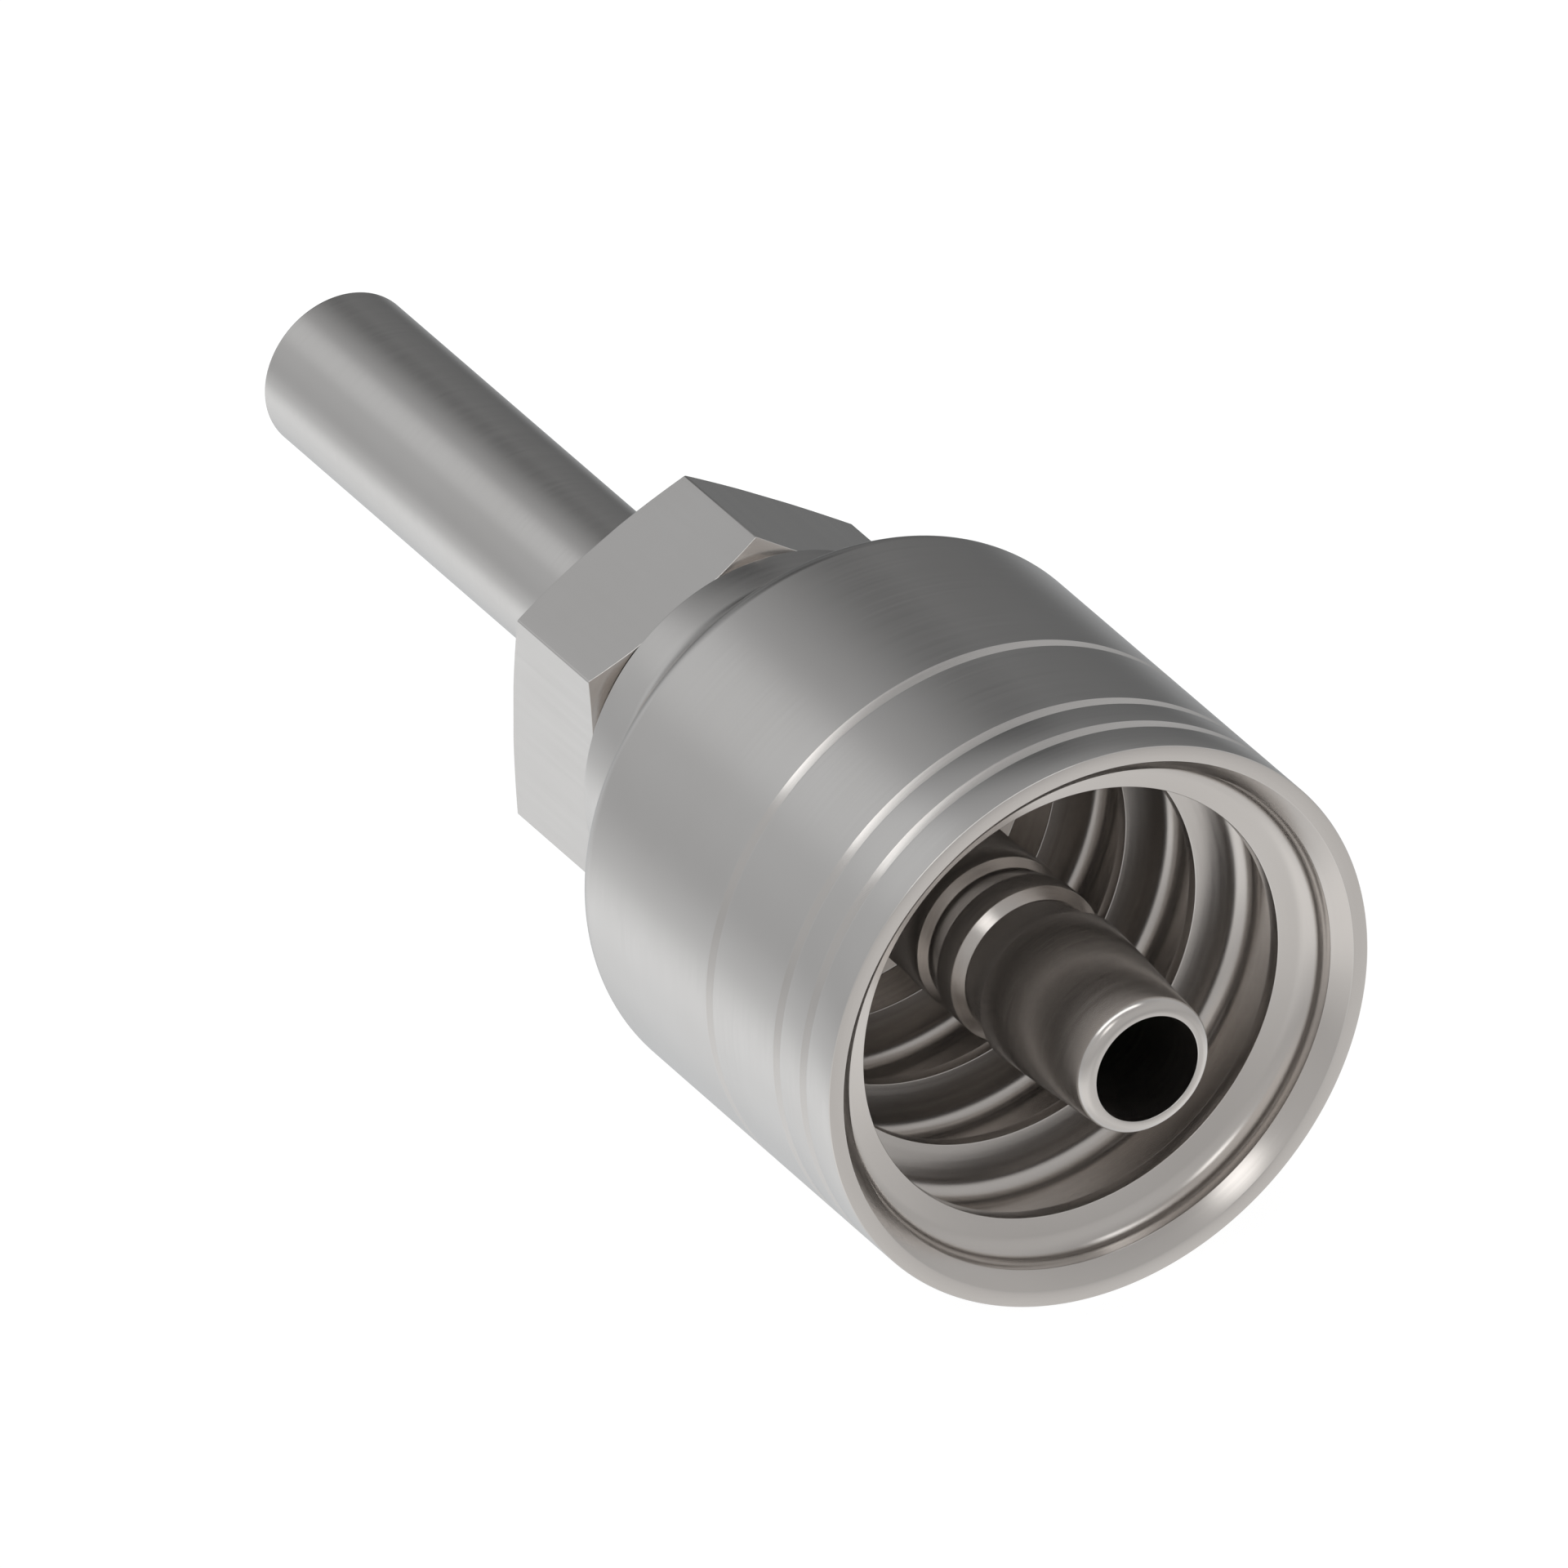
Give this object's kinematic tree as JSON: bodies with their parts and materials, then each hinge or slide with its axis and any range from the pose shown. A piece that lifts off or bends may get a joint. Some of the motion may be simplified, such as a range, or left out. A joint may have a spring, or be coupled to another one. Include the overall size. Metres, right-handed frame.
{
  "type": "crimp hose fitting",
  "caption": "Crimp hose fitting: ribbed shell round a barbed nipple, with a hexagon and a plain tube stub.",
  "frame": {"origin": "on the fitting's axis, in the plane of the shell's mouth face", "axes": "+X along the axis, out of the shell's mouth towards the hose; the tube stub points to -X; +Z runs through a corner of the hexagon"},
  "size_m": [0.0586, 0.0224, 0.0224],
  "materials": {
    "shell_steel": "turned steel with a clear zinc-nickel plating, satin",
    "stem_steel": "turned and hexagon bar steel with a clear zinc-nickel plating, satin"
  },
  "bodies": {
    "root": {"crimp_shell": "shell_steel", "nipple_stem": "stem_steel"}
  },
  "joints": []
}
